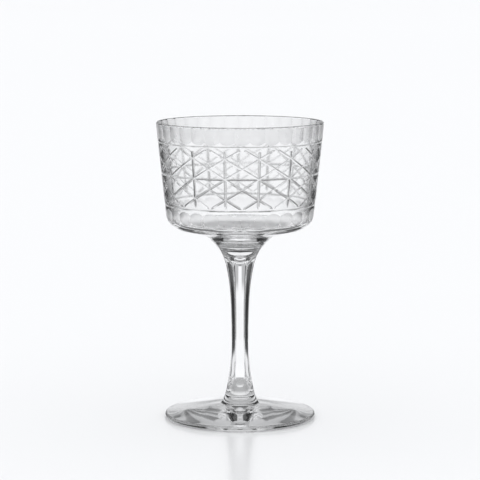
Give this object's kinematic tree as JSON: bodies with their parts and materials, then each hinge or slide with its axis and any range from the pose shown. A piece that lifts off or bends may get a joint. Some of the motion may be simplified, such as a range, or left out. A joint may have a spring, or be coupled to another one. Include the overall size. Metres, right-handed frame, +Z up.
{
  "type": "cocktail glass",
  "caption": "Stemmed cut-glass cocktail glass: tapered bowl with a wheel-cut lattice and flutes, faceted stem and round foot.",
  "frame": {"origin": "middle of the foot, on the table", "axes": "+Z up along the stem; -Y is the side the picture shows"},
  "size_m": [0.0887, 0.0887, 0.1587],
  "materials": {
    "clear_glass": "polished, with wheel-cut grooves and facets"
  },
  "bodies": {
    "root": {"foot": "clear_glass", "stem": "clear_glass", "bowl": "clear_glass"}
  },
  "joints": []
}
